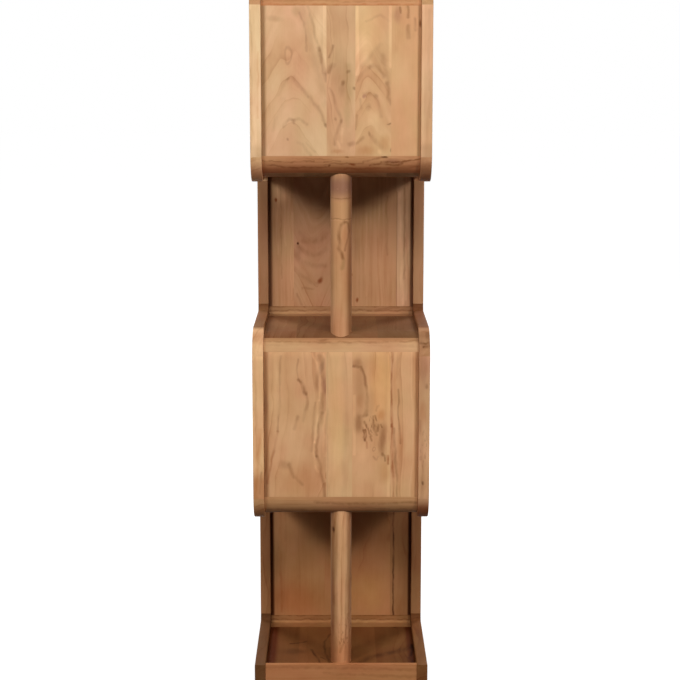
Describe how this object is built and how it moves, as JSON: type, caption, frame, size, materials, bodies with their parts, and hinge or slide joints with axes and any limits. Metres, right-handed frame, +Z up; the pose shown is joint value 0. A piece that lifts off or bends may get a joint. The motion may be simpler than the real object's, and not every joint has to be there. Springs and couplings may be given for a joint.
{
  "type": "spine bookshelf",
  "caption": "Tall narrow bookcase: a ribbon of solid wood boards folded back and forth between slim side frames, with round posts propping its open bays.",
  "frame": {"origin": "on the floor, under the middle of the bookcase's outline", "axes": "+Z up, -Y towards the front, where the base shelf and the bays with the rear panels are open; +X to the right seen from the front"},
  "size_m": [0.4, 0.35, 1.6],
  "materials": {
    "frame_wood": "light acacia, clear matt lacquer, grain along each frame member",
    "board_wood": "light acacia boards with darker streaks, clear matt lacquer, grain upright",
    "shelf_wood": "light acacia boards, clear matt lacquer, grain from front to rear",
    "block_wood": "acacia, clear matt lacquer, grain from side to side",
    "post_wood": "turned acacia, clear matt lacquer, grain upright",
    "dowel_wood": "plain hardwood dowel"
  },
  "bodies": {
    "root": {"base_boards": "shelf_wood", "base_front_lip": "block_wood", "base_rear_corner_block": "block_wood", "left_base_runner": "frame_wood", "left_frame_dowels": "dowel_wood", "left_lower_box_floor_runner": "frame_wood", "left_lower_box_top_runner": "frame_wood", "left_lower_front_stile": "frame_wood", "left_lower_rear_stile": "frame_wood", "left_panel_dowels": "dowel_wood", "left_top_runner": "frame_wood", "left_upper_box_floor_runner": "frame_wood", "left_upper_front_stile": "frame_wood", "left_upper_rear_stile": "frame_wood", "lower_box_floor_boards": "shelf_wood", "lower_box_floor_nose": "block_wood", "lower_box_floor_rear_block": "block_wood", "lower_box_post": "post_wood", "lower_box_top_boards": "shelf_wood", "lower_box_top_nose": "block_wood", "lower_box_top_rear_block": "block_wood", "lower_front_board_1": "board_wood", "lower_front_board_2": "board_wood", "lower_front_board_3": "board_wood", "lower_front_board_4": "board_wood", "lower_opening_post": "post_wood", "lower_rear_board_1": "board_wood", "lower_rear_board_2": "board_wood", "lower_rear_board_3": "board_wood", "lower_rear_board_4": "board_wood", "right_base_runner": "frame_wood", "right_frame_dowels": "dowel_wood", "right_lower_box_floor_runner": "frame_wood", "right_lower_box_top_runner": "frame_wood", "right_lower_front_stile": "frame_wood", "right_lower_rear_stile": "frame_wood", "right_panel_dowels": "dowel_wood", "right_top_runner": "frame_wood", "right_upper_box_floor_runner": "frame_wood", "right_upper_front_stile": "frame_wood", "right_upper_rear_stile": "frame_wood", "top_boards": "shelf_wood", "top_nose": "block_wood", "top_rear_lip": "block_wood", "upper_box_floor_boards": "shelf_wood", "upper_box_floor_nose": "block_wood", "upper_box_floor_rear_block": "block_wood", "upper_box_post": "post_wood", "upper_front_board_1": "board_wood", "upper_front_board_2": "board_wood", "upper_front_board_3": "board_wood", "upper_front_board_4": "board_wood", "upper_opening_post": "post_wood", "upper_rear_board_1": "board_wood", "upper_rear_board_2": "board_wood", "upper_rear_board_3": "board_wood", "upper_rear_board_4": "board_wood"}
  },
  "joints": []
}
